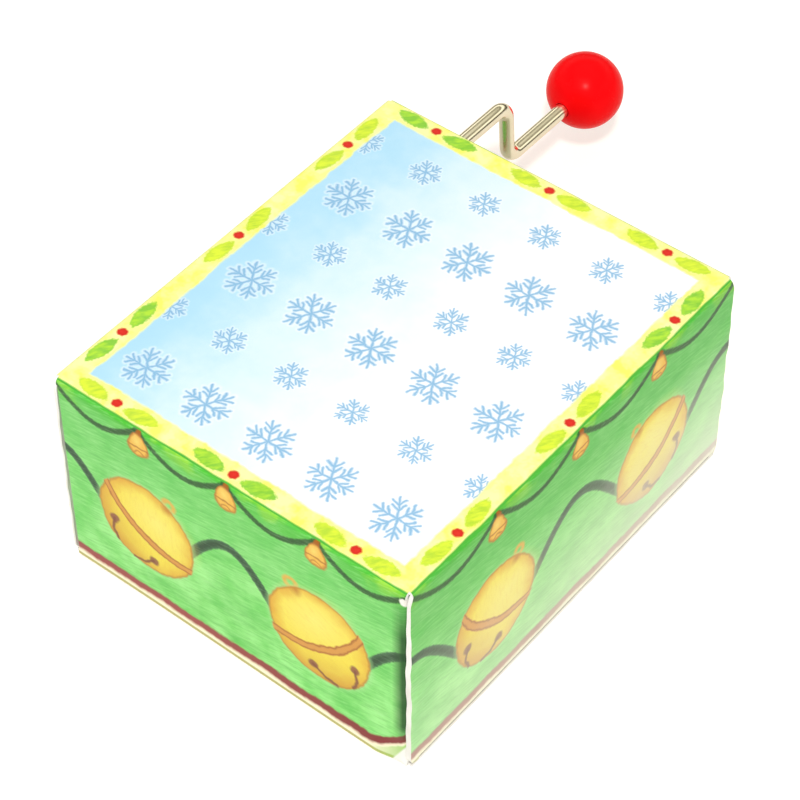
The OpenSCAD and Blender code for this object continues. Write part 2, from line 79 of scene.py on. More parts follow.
WIDTH = 2 * lid_hi[0]  # outer width, over the lids
DEPTH = tube_hi[1] - tube_lo[1]
HEIGHT = tube_hi[2]
HALF_W, HALF_D = WIDTH / 2, DEPTH / 2
BOARD = 0.5
LID_HALF = lid_hi[1]
TUCK_HALF = tuck_hi[1]
LID_LOW = lid_lo[2]
TUCK_HINGE_Z = LID_LOW + BOARD
DUST_X = dust_hi[0]
DUST_LOW, DUST_TOP = dust_lo[2], dust_hi[2]
DUST_TIP_Y = -dust_hi[1]
KNOB_R = (knob_hi[2] - knob_lo[2]) / 2
KNOB_C = np.array([(knob_lo[0] + knob_hi[0]) / 2, knob_hi[1] - KNOB_R, (knob_lo[2] + knob_hi[2]) / 2])
worm_lo, worm_hi = cad_box("drive_worm")
CRANK_X, CRANK_Z = (worm_lo[0] + worm_hi[0]) / 2, (worm_lo[2] + worm_hi[2]) / 2
WIRE_R = rod_hi[2] - CRANK_Z

# ---- Sizes of the folded board -----------------------------------------------------------------

LONG_R = 0.7  # outer radius of the creases along the top panel
LOW_R = 0.35  # outer radius of the creases along the bottom panel
TOP_R = 0.65  # outer radius of the crease between the top panel and a lid
END_R = {1: 0.95, -1: 0.4}  # outer radii of the creases between a wall and its right and left dust flaps
TOP_END = HALF_W - TOP_R  # where the top panel starts to round into a lid
WALL_END = {s: DUST_X - r for s, r in END_R.items()}  # where a side wall starts to round into a dust flap
HOLE_R = 2.2  # hole for the crank
FAR = 9.0  # distance stored where a painted shape is nowhere near
GRID = 0.5  # spacing of the sheets' grid where they are printed
CORNER_STEPS = 6

ART_LOW = 1.0  # height of the wall art's baseline above the bottom edge
PANELS = {  # how points on each printed panel map to (across, up) in millimetres, seen from outside
    "front": lambda p: (p[:, 0] + HALF_W, p[:, 2] - ART_LOW),
    "rear": lambda p: (HALF_W - p[:, 0], p[:, 2] - ART_LOW),
    "top": lambda p: (p[:, 0] + HALF_W, p[:, 1] + HALF_D),
    "bottom": lambda p: (p[:, 0] + HALF_W, HALF_D - p[:, 1]),
    "right": lambda p: (p[:, 1] + HALF_D, p[:, 2] - ART_LOW),
    "left": lambda p: (HALF_D - p[:, 1], p[:, 2] - ART_LOW),
}


def smoothstep(x):
    x = np.clip(x, 0, 1)
    return x * x * (3 - 2 * x)


def steps(a, b, spacing):
    """Evenly spaced numbers from a to b, both included, about that far apart."""
    return np.linspace(a, b, max(2, int(round(abs(b - a) / spacing)) + 1))


# ---- Painted shapes, as distances in millimetres over a panel ----------------------------------


def stroke(q, path):
    """Distance from points q to a stroke along rows of (across, up, half width), below zero inside it."""
    a, b = path[:-1], path[1:]
    along = b[:, :2] - a[:, :2]
    length2 = (along**2).sum(1) + 1e-12
    best = np.full(len(q), 1e9)
    for k in range(len(a)):
        off = q - a[k, :2]
        t = np.clip((off @ along[k]) / length2[k], 0, 1)
        d = np.hypot(*(off - t[:, None] * along[k]).T) - (a[k, 2] + t * (b[k, 2] - a[k, 2]))
        best = np.minimum(best, d)
    return best


def strokes(*paths):
    return lambda q: np.minimum.reduce([stroke(q, p) for p in paths])


def turned(q, centre, degrees):
    c, s = math.cos(math.radians(degrees)), math.sin(math.radians(degrees))
    off = q - np.array(centre)
    return off @ np.array([[c, -s], [s, c]])


def oval(q, centre, rx, ry, degrees=0.0):
    u = turned(q, centre, degrees)
    return (np.hypot(u[:, 0] / rx, u[:, 1] / ry) - 1) * min(rx, ry)


def leaf(q, centre, half_len, half_wide, degrees):
    """A lens shape with pointed ends."""
    u = np.abs(turned(q, centre, degrees))
    big = (half_len**2 + half_wide**2) / (2 * half_wide)
    return np.hypot(u[:, 0], u[:, 1] + big - half_wide) - big


# ---- Sheets of board ---------------------------------------------------------------------------


def new_object(name, verts, faces, materials, slots=None):
    mesh = bpy.data.meshes.new(name)
    mesh.from_pydata((np.asarray(verts) * MM).tolist(), [], faces)
    for m in materials:
        mesh.materials.append(m)
    if slots is not None:
        mesh.polygons.foreach_set("material_index", np.asarray(slots, np.int32))
    mesh.polygons.foreach_set("use_smooth", np.full(len(faces), True))
    mesh.update()
    obj = bpy.data.objects.new(name, mesh)
    bpy.context.scene.collection.objects.link(obj)
    return obj


def sheet(name, points, normals, keep, panel, skins, closed=False, hole=None, thickness=BOARD):
    """A sheet of board with real thickness, from a grid of points on its outer surface.

    keep[i, j] says which cells exist and panel[i, j] which of the skins each outer cell shows;
    hole = (i0, i1, j0, j1, centre, radius) opens a round hole in a block of flat cells.
    """
    ni, nj = points.shape[:2]
    ci, cj = keep.shape
    verts = [tuple(p) for p in points.reshape(-1, 3)]
    verts += [tuple(p) for p in (points - thickness * normals).reshape(-1, 3)]
    back = ni * nj
    inside, edge = len(skins), len(skins) + 1
    faces, slots = [], []

    def at(i, j):
        return (i % ni) * nj + j

    mid = np.argwhere(keep)[len(np.argwhere(keep)) // 2]
    a, b, c, d = (np.array(verts[at(mid[0] + i, mid[1] + j)]) for i, j in ((0, 0), (0, 1), (1, 1), (1, 0)))
    flip = np.dot(np.cross(c - a, d - b), normals[mid[0], mid[1]]) < 0

    def face(loop, slot):
        faces.append(loop[::-1] if flip else loop)
        slots.append(slot)

    def kept(i, j):
        if closed:
            i %= ci
        return 0 <= i < ci and 0 <= j < cj and keep[i, j]

    def in_hole(i, j):
        return hole is not None and hole[0] <= i < hole[1] and hole[2] <= j < hole[3]

    for i, j in np.argwhere(keep):
        a, b, c, d = at(i, j), at(i, j + 1), at(i + 1, j + 1), at(i + 1, j)
        face([a, b, c, d], panel[i, j])
        face([a + back, d + back, c + back, b + back], inside)
        for p, q, di, dj in ((a, b, -1, 0), (b, c, 0, 1), (c, d, 1, 0), (d, a, 0, -1)):
            if not kept(i + di, j + dj) and not in_hole(i + di, j + dj):
                face([q, p, p + back, q + back], edge)
    if hole is not None:
        i0, i1, j0, j1, centre, radius = hole
        loop = [(i0, j) for j in range(j0, j1)] + [(i, j1) for i in range(i0, i1)]
        loop += [(i1, j) for j in range(j1, j0, -1)] + [(i, j0) for i in range(i1, i0, -1)]
        rings = []
        for inner in (0, 1):
            square = [at(i, j) + inner * back for i, j in loop]
            made = [square]
            for share in (0.5, 1.0):
                ring = []
                for v in square:
                    p = np.array(verts[v])
                    off = (p - centre)[[0, 2]]
                    on_circle = off / np.hypot(*off) * radius
                    off = off + (on_circle - off) * share
                    verts.append((centre[0] + off[0], p[1], centre[2] + off[1]))
                    ring.append(len(verts) - 1)
                made.append(ring)
            rings.append(made)
        n = len(loop)
        skin = panel[i0, j0 - 1]
        for k in range(n):
            m = (k + 1) % n
            for r in (0, 1):
                front, rear = rings[0], rings[1]
                face([front[r][k], front[r][m], front[r + 1][m], front[r + 1][k]], skin)
                face([rear[r][k], rear[r + 1][k], rear[r + 1][m], rear[r][m]], inside)
            face([rings[0][2][k], rings[0][2][m], rings[1][2][m], rings[1][2][k]], edge)

    used = np.unique([v for f in faces for v in f])
    index = np.full(len(verts), -1)
    index[used] = np.arange(len(used))
    verts = np.array(verts)[used]
    faces = [[int(index[v]) for v in f] for f in faces]
    materials = [PRINTS[s] for s in skins] + [BOARD_INSIDE, BOARD_EDGE]
    obj = new_object(name, verts, faces, materials, slots)
    mesh = obj.data
    mesh.set_sharp_from_angle(angle=math.radians(50))
    print_uv = mesh.uv_layers.new(name="print")
    co = verts[[v for f in faces for v in f]]
    kind = np.repeat(np.array(slots), [len(f) for f in faces])
    uv = np.zeros((len(co), 2))
    for k, skin in enumerate(skins):
        here = kind == k
        uv[here] = np.stack(PANELS.get(skin, PANELS["front"])(co[here]), 1)
    uv[kind >= len(skins)] = np.stack(PANELS["top"](co[kind >= len(skins)]), 1)
    print_uv.data.foreach_set("uv", uv.ravel())
    for skin in skins:
        for field, shape in FIELDS.get(skin, {}).items():
            q = np.stack(PANELS[skin](verts), 1)
            values = np.full(len(q), FAR)
            near = (q[:, 0] > -2) & (q[:, 0] < 64) & (q[:, 1] > -2) & (q[:, 1] < 64)
            values[near] = np.clip(shape(q[near]), -FAR, FAR)
            layer = mesh.attributes.new(field, "FLOAT", "POINT")
            layer.data.foreach_set("value", values.astype(np.float32))
    return obj


# ---- The painted design ------------------------------------------------------------------------
# A plain pattern of even waves, swags, leaves and berries, worked out from the panels' own sizes.
# Lengths are millimetres on a panel: (across, up) from its lower left corner, seen from outside.

WALLS = {"front": WIDTH, "rear": WIDTH, "right": DEPTH, "left": DEPTH}
BELL_UP = 13.0  # height of the large bells' middles
RIBBON_SWING = 6.0  # how far the ribbon rises and falls about that height
RIBBON_HALF = 0.7
SWAGS = 4  # to a wall
SWAG_TOP, SWAG_DROP, SWAG_HALF = 29.6, 3.2, 0.45
BORDER = 3.2  # width of the top panel's border
SHARES = (1 / 6, 1 / 2, 5 / 6)  # where the border's berries sit along each side


def path(across, up, half):
    """A brush stroke's path, as rows of (across, up, half width)."""
    return np.stack([across, up, np.full(len(across), half)], 1)


def ribbon(width):
    """A ribbon that passes behind both of a wall's bells, highest between them and at the corners."""
    across = np.linspace(-1, width + 1, 61)
    return strokes(path(across, BELL_UP + RIBBON_SWING * np.cos(4 * np.pi * across / width), RIBBON_HALF))


def swags(width):
    """A cord that hangs from the top edge in equal swags."""
    share = np.linspace(0, 1, 13)
    hang = SWAG_TOP - SWAG_DROP * np.sin(np.pi * share)
    return strokes(*[path((k + share) * width / SWAGS, hang, SWAG_HALF) for k in range(SWAGS)])


def berry_places():
    """Middles of the border's berries, and the turn of the leaves beside each."""
    out = []
    for share in SHARES:
        out += [(a, share * DEPTH, 90) for a in (BORDER / 2, WIDTH - BORDER / 2)]
        out += [(share * WIDTH, b, 0) for b in (BORDER / 2, DEPTH - BORDER / 2)]
    return out


def leaves(greener):
    """The border's leaves, one on each side of every berry; every third pair is the greener kind."""
    chosen = []
    for k, (a, b, turn) in enumerate(berry_places()):
        if (k % 3 == 0) == greener:
            for step in (-3.6, 3.6):
                centre = (a, b + step) if turn else (a + step, b)
                chosen.append((centre, 2.6, 1.0, turn + math.copysign(6, step)))
    return lambda q: np.minimum.reduce([leaf(q, *v) for v in chosen])


def berries(q):
    return np.minimum.reduce([oval(q, (a, b), 0.72, 0.66) for a, b, _ in berry_places()])


FIELDS = {wall: {wall + "_ribbon": ribbon(w), wall + "_scallop": swags(w)} for wall, w in WALLS.items()}
FIELDS["top"] = {"leaves": leaves(False), "green_leaves": leaves(True), "berries": berries}


# ---- Painting with shader nodes ----------------------------------------------------------------


def srgb(text):
    """Linear colour from an RRGGBB string."""
    out = []
    for k in (0, 2, 4):
        c = int(text[k : k + 2], 16) / 255
        out.append(c / 12.92 if c <= 0.04045 else ((c + 0.055) / 1.055) ** 2.4)
    return (*out, 1.0)


class Value:
    """A number in a material. Arithmetic on it adds math nodes."""

    def __init__(self, paint, socket):
        self.paint, self.socket = paint, socket

    def __add__(self, other):
        return self.paint.math("ADD", self, other)

    def __sub__(self, other):
        return self.paint.math("SUBTRACT", self, other)

    def __rsub__(self, other):
        return self.paint.math("SUBTRACT", other, self)

    def __mul__(self, other):
        return self.paint.math("MULTIPLY", self, other)

    def __abs__(self):
        return self.paint.math("ABSOLUTE", self)


class Paint:
    """A material under construction: a running colour that shapes are laid over."""

    def __init__(self, name):
        self.material = bpy.data.materials.new(name)
        self.material.use_nodes = True
        self.nodes = self.material.node_tree.nodes
        self.links = self.material.node_tree.links
        self.nodes.clear()
        self.colour = None
        self.fields = {}

    def put(self, socket, value):
        if isinstance(value, Value):
            value = value.socket
        if isinstance(value, bpy.types.NodeSocket):
            self.links.new(value, socket)
        else:
            socket.default_value = value

    def node(self, kind, inputs=(), **props):
        n = self.nodes.new("ShaderNode" + kind)
        for k, v in props.items():
            setattr(n, k, v)
        for k, v in dict(inputs).items():
            self.put(n.inputs[k], v)
        return n

    def math(self, operation, a, b=0.0, c=0.0, clamp=False):
        n = self.node("Math", {0: a, 1: b, 2: c}, operation=operation, use_clamp=clamp)
        return Value(self, n.outputs[0])

    def least(self, first, *others):
        for other in others:
            first = self.math("MINIMUM", first, other)
        return first

    def vector(self, operation, a, b=(0, 0, 0), scale=1.0):
        n = self.node("VectorMath", {0: a, 1: b}, operation=operation)
        if operation == "SCALE":
            self.put(n.inputs["Scale"], scale)
        flat = operation in ("LENGTH", "DISTANCE", "DOT_PRODUCT")
        return Value(self, n.outputs["Value" if flat else "Vector"])

    def length(self, vector):
        return self.vector("LENGTH", vector)

    def object_space(self):
        return Value(self, self.node("TexCoord").outputs["Object"])

    def xy(self, vector):
        n = self.node("SeparateXYZ", {0: vector})
        return Value(self, n.outputs[0]), Value(self, n.outputs[1])

    def combine(self, x, y, z=0.0):
        return Value(self, self.node("CombineXYZ", {0: x, 1: y, 2: z}).outputs[0])

    def local(self, vector, centre, degrees=0.0, scale=(1, 1)):
        """The vector seen from a frame at centre, turned and scaled."""
        place = {"Location": (*centre, 0), "Rotation": (0, 0, math.radians(degrees)), "Scale": (*scale, 1)}
        n = self.node("Mapping", {"Vector": vector, **place}, vector_type="TEXTURE")
        return Value(self, n.outputs[0])

    def stretched(self, vector, scale):
        n = self.node("Mapping", {"Vector": vector, "Scale": scale}, vector_type="POINT")
        return Value(self, n.outputs[0])

    def noise(self, vector, scale, detail=2.0, roughness=0.5, size=(1, 1), turn=0.0, dims="2D"):
        """Noise as (0 to 1 value, colour)."""
        if size != (1, 1) or turn:
            vector = self.local(vector, (0, 0), turn, size)
        inputs = {"Vector": vector, "Scale": scale, "Detail": detail, "Roughness": roughness}
        n = self.node("TexNoise", inputs, noise_dimensions=dims)
        return Value(self, n.outputs[0]), Value(self, n.outputs[1])

    def field(self, name):
        """A painted shape's distance, stored on the sheet's points."""
        if name not in self.fields:
            n = self.node("Attribute", attribute_type="GEOMETRY", attribute_name=name)
            self.fields[name] = Value(self, n.outputs["Fac"])
        return self.fields[name]

    def spot(self, vector, centre, radius):
        """Distance from a round spot."""
        return self.vector("DISTANCE", vector, (*centre, 0)) - radius

    def capsule(self, point, a, b):
        """Distance from the line a-b."""
        along = (b[0] - a[0], b[1] - a[1])
        length2 = along[0] ** 2 + along[1] ** 2
        off = self.vector("SUBTRACT", point, (*a, 0))
        t = self.vector("DOT_PRODUCT", off, (along[0] / length2, along[1] / length2, 0))
        t = self.math("ADD", t, 0.0, clamp=True)
        return self.vector("DISTANCE", off, self.vector("SCALE", (*along, 0), scale=t))

    def cover(self, distance, soft=0.09, strength=1.0):
        """How much of a shape covers the board: full inside, fading out across twice the softness."""
        m = self.math("MULTIPLY_ADD", distance, -0.5 / soft, 0.5, clamp=True)
        return m * strength if strength != 1.0 else m

    def line(self, distance, half, soft=0.07, strength=1.0):
        m = self.math("MULTIPLY_ADD", abs(distance), -0.5 / soft, 0.5 + 0.5 * half / soft, clamp=True)
        return m * strength if strength != 1.0 else m

    def ramp(self, value, low, high):
        """Zero below low and one above high (or the other way round)."""
        span = high - low
        return self.math("MULTIPLY_ADD", value, 1 / span, -low / span, clamp=True)

    def mix(self, factor, a, b, blend="MIX"):
        n = self.node("Mix", {0: factor}, data_type="RGBA", blend_type=blend)
        self.put(n.inputs[6], a)
        self.put(n.inputs[7], b)
        return Value(self, n.outputs[2])

    def lay(self, mask, colour):
        """Lays a colour over what is painted so far."""
        self.colour = self.mix(mask, self.colour, srgb(colour))

    def fill(self, distance, colour, soft=0.09, strength=1.0):
        self.lay(self.cover(distance, soft, strength), colour)

    def trace(self, distance, half, colour, soft=0.07, strength=1.0):
        self.lay(self.line(distance, half, soft, strength), colour)

    def close(self, roughness, height=None, bump=0.2, distance=0.00002, **more):
        """Ends the material with a Principled surface."""
        inputs = {"Base Color": self.colour, "Roughness": roughness}
        inputs.update({k.replace("_", " "): v for k, v in more.items()})
        shader = self.node("BsdfPrincipled", inputs)
        if height is not None:
            b = self.node("Bump", {"Height": height, "Strength": bump, "Distance": distance})
            self.links.new(b.outputs[0], shader.inputs["Normal"])
        out = self.node("OutputMaterial")
        self.links.new(shader.outputs[0], out.inputs["Surface"])
        return self.material


def brush(p):
    """What every printed panel shares: its UV, the UV with a hand wobble, slow mottling and brush grain."""
    uv = Value(p, p.node("UVMap", uv_map="print").outputs[0])
    slow, slow_rgb = p.noise(uv, 0.22, 3.0)
    grain, _ = p.noise(uv, 2.6, 2.0, 0.6)
    _, quick_rgb = p.noise(uv, 1.1, 1.0)
    moved = uv
    for colour, sway in ((slow_rgb, 0.7), (quick_rgb, 0.28)):
        off = p.vector("SUBTRACT", colour, (0.5, 0.5, 0.5))
        moved = p.vector("ADD", moved, p.vector("SCALE", off, scale=sway))
    return uv, moved, slow, grain


def printed(p, uv, grain):
    """Ends a printed panel: ink on coated board, lightly lacquered."""
    fine, _ = p.noise(uv, 9.0, 2.0, 0.6)
    tone = fine * 0.16 + 0.92
    p.colour = p.mix(1.0, p.colour, p.combine(tone, tone, tone), "MULTIPLY")
    wide, _ = p.noise(uv, 0.35, 1.0)
    return p.close(grain * 0.12 + 0.30, fine * 0.3 + wide, 0.25, 0.00003, Specular_IOR_Level=0.22)


BELL_R = 7.2  # of the large bells


def jingle_bells(p, point, split, left, right):
    """Two painted round bells. Each is (centre, turn): the loop is at +Y of the bell's own frame."""
    x, _ = p.xy(point)
    n = p.node("Mix", {0: p.math("GREATER_THAN", x, split)}, data_type="VECTOR")
    for socket, (centre, turn) in ((4, left), (5, right)):
        p.put(n.inputs[socket], p.local(point, centre, turn))
    q = Value(p, n.outputs[1])
    bx, by = p.xy(q)
    radius = p.length(q)
    rim = radius - BELL_R
    inside = p.cover(rim, 0.12)
    blotch, _ = p.noise(q, 0.28, 2.0)
    hatch, _ = p.noise(q, 1.3, 2.0, 0.6, size=(0.5, 2.2), turn=30)
    p.trace(p.spot(q, (0.1, 7.9), 0.75), 0.32, "DDB552", 0.2)
    p.trace(rim, 0.4, "A9E296", 0.4, 0.5)
    p.lay(inside, "F3DE4E")
    p.fill(p.length(p.local(q, (0.8, 2.6), 0, (1.3, 1.0))) - 2.4, "FBF285", 3.2, 0.8)
    p.lay(p.ramp(radius + blotch * 2.4, 6.3, 8.5) * inside * 0.85, "DFA438")
    p.lay(p.ramp(bx * 0.45 + by + blotch * 3.0, -0.5, -6.0) * inside * 0.6, "CF9A36")
    p.lay(p.ramp(hatch, 0.48, 0.8) * inside * 0.16, "DDA83C")
    p.lay(p.cover(p.spot(q, (0.3, 6.9), 0.6), 0.5, 0.7) * inside, "B86E2C")
    p.trace(rim, 0.13, "BE8030", 0.14, 0.85)
    # band
    across = abs(bx * bx * -0.046 + by + 1.75)
    band = p.cover(across - 0.66, 0.14) * p.cover(radius - 7.5, 0.14)
    p.lay(band, "D99A49")
    p.lay(band * p.line(across - 0.52, 0.14, 0.14, 0.9), "A8622B")
    # slots, the same on both sides of the middle
    mirrored_q = p.combine(abs(bx), by)
    p.fill(p.spot(mirrored_q, (3.5, -4.3), 0.72), "8E5341", 0.17, 0.92)
    hole, bend, end = (3.5, -4.4), (2.8, -6.1), (1.4, -7.1)
    cut = p.least(p.capsule(mirrored_q, hole, bend), p.capsule(mirrored_q, bend, end))
    p.fill(cut - 0.23, "824A39", 0.13, 0.9)


def small_bell(p, point, centre, body, rx, ry):
    """A drop-shaped bell hanging by a small cap."""
    q = p.local(point, centre, 0, (rx, ry))
    x, y = p.xy(q)
    d = p.length(p.combine(x * (y * 0.3 + 1.0), y))
    p.fill(p.spot(q, (0.12, 1.1), 0.3), "A5621F", 0.08)
    p.fill(d - 1.06, "BB7428", 0.08)
    p.fill(d - 0.9, body, 0.12)
    p.fill(p.spot(q, (-0.1, 0.25), 0.3), "F8E07A", 0.35, 0.75)
    p.lay(p.line(y + 0.28, 0.06, 0.06, 0.85) * p.cover(d - 1.0, 0.1), "A8602A")
    p.lay(p.line(p.spot(q, (0.0, -1.3), 0.7), 0.06, 0.06, 0.7) * p.cover(d - 0.9, 0.1), "A8602A")


def green_ground(p, uv, slow, y, hatch_turn):
    """Brushed greens, deeper and then yellower towards the top; returns the noise of its fibres."""
    streak, _ = p.noise(uv, 0.45, 3.0, 0.55, size=(5.0, 1.0))
    fibres, _ = p.noise(uv, 1.3, 3.0, 0.6, size=(0.4, 3.6), turn=hatch_turn)
    p.colour = p.mix(p.math("MULTIPLY_ADD", slow, 2.4, -0.7, clamp=True), srgb("76D868"), srgb("A4F292"))
    p.lay(p.ramp(streak, 0.45, 0.72) * 0.5, "62C45A")
    p.lay(p.ramp(y + slow * 5.0, 15.0, 27.0) * 0.6, "64C65C")
    p.lay(p.ramp(y + streak * 3.0, 28.2, 31.2) * 0.9, "4CC22C")
    p.lay(p.ramp(y + streak * 2.0, 28.8, 31.0) * p.ramp(slow, 0.5, 0.66) * 0.8, "A6E23E")
    p.lay(p.ramp(fibres, 0.5, 0.8) * 0.4, "4FAE4C")
    p.lay(p.ramp(fibres, 0.5, 0.22) * 0.3, "BDF5AC")
    return fibres


def foot_stripes(p, foot, level, x, maroon):
    """A maroon band over a cream line, then a thin gold line and a pale one that stay level."""
    p.fill(foot - 0.2, "7FA560", 0.18, 0.5)
    p.fill(foot, "A1494A", 0.15)
    p.lay(p.cover(foot, 0.15) * p.ramp(x, 20.0, 52.0) * maroon, "7A2A2E")
    p.fill(foot + 1.2, "F4E2C6", 0.2)
    p.fill(foot + 1.5, "FDF9DE", 0.15)
    p.fill(level + 1.95, "BDB66A", 0.12)
    p.fill(level + 2.4, "E6E2B4", 0.12)


def side_print(side, hatch_turn, foot_z, flare=False, painted_sheen=False):
    """A green wall with a ribbon, swags and bells.

    flare turns the foot band up at the far end and paints shade into the fold there, and the last flag
    pales the lower part with a painted sheen.
    """
    p = Paint("print_" + side)
    uv, point, slow, grain = brush(p)
    x, y = p.xy(point)
    ux, uy = p.xy(uv)
    width = WALLS[side]
    fibres = green_ground(p, uv, slow, y, hatch_turn)
    if painted_sheen:
        # with the painted sheen the green is also deepened higher up
        p.lay(p.ramp(y + slow * 4.0, 12.0, 26.0) * 0.25, "3E9C38")
    for shape, dark, pale in (("scallop", "163C1E", "336730"), ("ribbon", "20402A", "40664A")):
        d = p.field(f"{side}_{shape}") - 0.12 + grain * 0.25
        p.fill(d, pale, 0.11, 0.94)
        p.fill(d + 0.15 + slow * 0.25, dark, 0.25, 0.85)
        p.lay(p.cover(d, 0.1) * p.ramp(fibres, 0.48, 0.25) * 0.25, "86AE84")
    jingle_bells(p, point, width / 2, ((width / 4, BELL_UP), -30), ((width * 3 / 4, BELL_UP), 30))
    for k in range(1, SWAGS):
        small_bell(p, point, (k * width / SWAGS, SWAG_TOP - 2.2), "EFBE50", 1.45, 1.8)
    near = p.ramp(x, 46.0, 52.0)
    foot = y - near * near * 4.0 - foot_z if flare else y - foot_z
    foot_stripes(p, foot, uy - foot_z, x, 0.8 if flare else 0.4)
    if flare:
        p.lay(p.cover(foot + 1.7, 0.2) * near, "96CE5A")
        p.fill(43.9 - p.vector("DOT_PRODUCT", uv, (0.88, -0.47, 0)), "F8F7F2", 0.12)
        # painted shade: the fold at the far end is darkened where it turns into the crease, and the fold is
        # scuffed to bare board at its top
        p.lay(p.ramp(ux, 49.4, 50.8) * p.ramp(uy, 30.0, 22.0) * p.ramp(uy, 3.0, 6.0) * 0.92, "134819")
        p.fill(p.spot(point, (51.3, 28.4), 0.75), "F4F1EA", 0.12)
    if painted_sheen:
        # painted sheen: the lower part is paled towards white, more so towards the far end
        pale = p.ramp(y + slow * 6.0, 25.0, 3.0) * p.ramp(x, -36.0, 64.0)
        p.lay(pale * 0.8, "F6F8EA")
        p.fill(uy + 0.7, "C3AB5E", 0.15, 0.9)
    return printed(p, uv, grain)


FLAKE_PITCH = 9.06  # five flakes across the picture
FLAKE_ARM = 3.1


def snowflakes(p, point):
    """Distance from the arms of plain six-armed snowflakes in staggered rows, every other row smaller."""
    x, y = p.xy(point)
    row = (y - BORDER) * (1 / FLAKE_PITCH)
    odd = p.math("FRACT", p.math("FLOOR", row) * 0.5) * 2.0
    column = (x - BORDER) * (1 / FLAKE_PITCH) + odd * 0.5
    cx, cy = ((p.math("FRACT", v) - 0.5) * FLAKE_PITCH for v in (column, row))
    r = p.length(p.combine(cx, cy)) * (odd * 0.5 + 1.0)
    sixth = 2 * math.pi / 6
    turn = p.math("ARCTAN2", cy, cx) * (1 / sixth) + 0.5
    off_arm = abs(p.math("FRACT", turn) - 0.5) * sixth
    q = p.combine(r * p.math("COSINE", off_arm), r * p.math("SINE", off_arm))
    arms = [p.capsule(q, (0, 0), (FLAKE_ARM, 0))]
    for share in (0.35, 0.6):
        arms.append(p.capsule(q, (share * FLAKE_ARM, 0), ((share + 0.25) * FLAKE_ARM, 0.8)))
    return p.least(*arms)


def border_print(p, uv, x, y, grain):
    """A yellow border with leaves and berries."""
    middle_x, middle_y = WIDTH / 2, DEPTH / 2
    past_x = abs(x - middle_x) - (middle_x - BORDER)
    past_y = abs(y - middle_y) - (middle_y - BORDER)
    border = p.ramp(p.math("MAXIMUM", past_x, past_y), -0.12, 0.22)
    patches, _ = p.noise(uv, 0.35, 3.0, 0.6)
    dabs, _ = p.noise(uv, 0.8, 2.0, 0.6, size=(0.6, 1.8), turn=-40)
    p.lay(border, "FDFB94")
    p.lay(border * p.ramp(patches, 0.52, 0.68) * 0.75, "F9F558")
    p.lay(border * p.ramp(patches, 0.48, 0.34) * 0.5, "FEFDC0")
    for field, dark, pale in (("leaves", "BEDD2E", "E4F53C"), ("green_leaves", "7CC634", "BCE93C")):
        d = p.field(field) + grain * 0.45 - 0.22
        p.fill(d, dark, 0.12, 0.94)
        p.lay(p.cover(d + 0.12, 0.2) * p.ramp(dabs, 0.36, 0.66) * 0.85, pale)
        p.lay(p.cover(d + 0.3, 0.2) * p.ramp(dabs, 0.4, 0.25) * 0.35, "9CD23A")
    d = p.field("berries") + grain * 0.15 - 0.07
    p.fill(d, "CF2116", 0.12)
    p.fill(d + 0.2, "E23322", 0.25, 0.8)


def top_print():
    """Snowflakes on a pale sky inside a leafy border."""
    p = Paint("print_top")
    uv, point, slow, grain = brush(p)
    x, y = p.xy(point)
    ux, uy = p.xy(uv)
    cloud, _ = p.noise(uv, 0.16, 4.0, 0.6)
    p.colour = srgb("FEFEFD")
    p.lay(p.ramp(x + cloud * 14.0, 42.0, 12.0), "BFE6F5")
    p.lay(p.ramp(x + cloud * 12.0, 20.0, 6.0) * 0.5, "9CD2F0")
    flakes = snowflakes(p, point) + grain * 0.12
    p.fill(flakes - 0.34, "FFFFFF", 0.3, 0.8)
    p.fill(flakes - 0.24, "6FAFD6", 0.12, 0.85)
    border_print(p, uv, x, y, grain)
    # the walls' green print runs a little over the creases
    edge = p.least(ux - 0.25, WIDTH - 0.45 - ux, uy - 0.45, DEPTH - 0.35 - uy)
    p.fill(edge + slow * 0.3 - 0.12, "4FB03A", 0.1)
    return printed(p, uv, grain)


def bottom_print():
    p = Paint("print_bottom")
    uv, _, slow, grain = brush(p)
    ux, uy = p.xy(uv)
    p.colour = p.mix(slow, srgb("FBF7A8"), srgb("FFFDD8"))
    edge = p.least(ux, 52.0 - ux, uy, 61.5 - uy)
    p.trace(edge - 2.6, 0.35, "7CC06A", 0.15)
    p.trace(edge - 3.5, 0.12, "C9AA52", 0.1)
    p.fill(edge - 0.7, "983F41", 0.15)
    return printed(p, uv, grain)


def plain_board(name, colour, speck, rough, **more):
    """Unprinted board: fibres and a slight mottle, in object space."""
    p = Paint(name)
    where = p.object_space()
    fibre, _ = p.noise(where, 2500.0, 3.0, 0.6, dims="3D")
    mottle, _ = p.noise(where, 220.0, 2.0, dims="3D")
    p.colour = p.mix(p.ramp(mottle, 0.3, 0.8), srgb(colour), srgb(speck))
    p.lay(p.ramp(fibre, 0.62, 0.8) * 0.35, speck)
    return p.close(rough, fibre, 0.3, 0.00004, **more)


BOARD_INSIDE = plain_board("board_inside", "D2CEC6", "C4BFB6", 0.8)
BOARD_EDGE = plain_board("board_edge", "FBFAF7", "E6E3DC", 0.75)
PRINTS = {
    "front": side_print("front", -80, 1.75, flare=True),
    "rear": side_print("rear", 80, 1.75),
    "right": side_print("right", 80, 1.95, painted_sheen=True),
    "left": side_print("left", -80, 1.95),
    "top": top_print(),
    "bottom": bottom_print(),
    "blank": plain_board("board_coated", "FBFAF6", "F1EEE6", 0.45, Coat_Weight=0.2, Coat_Roughness=0.2),
}


# ---- Other materials ---------------------------------------------------------------------------


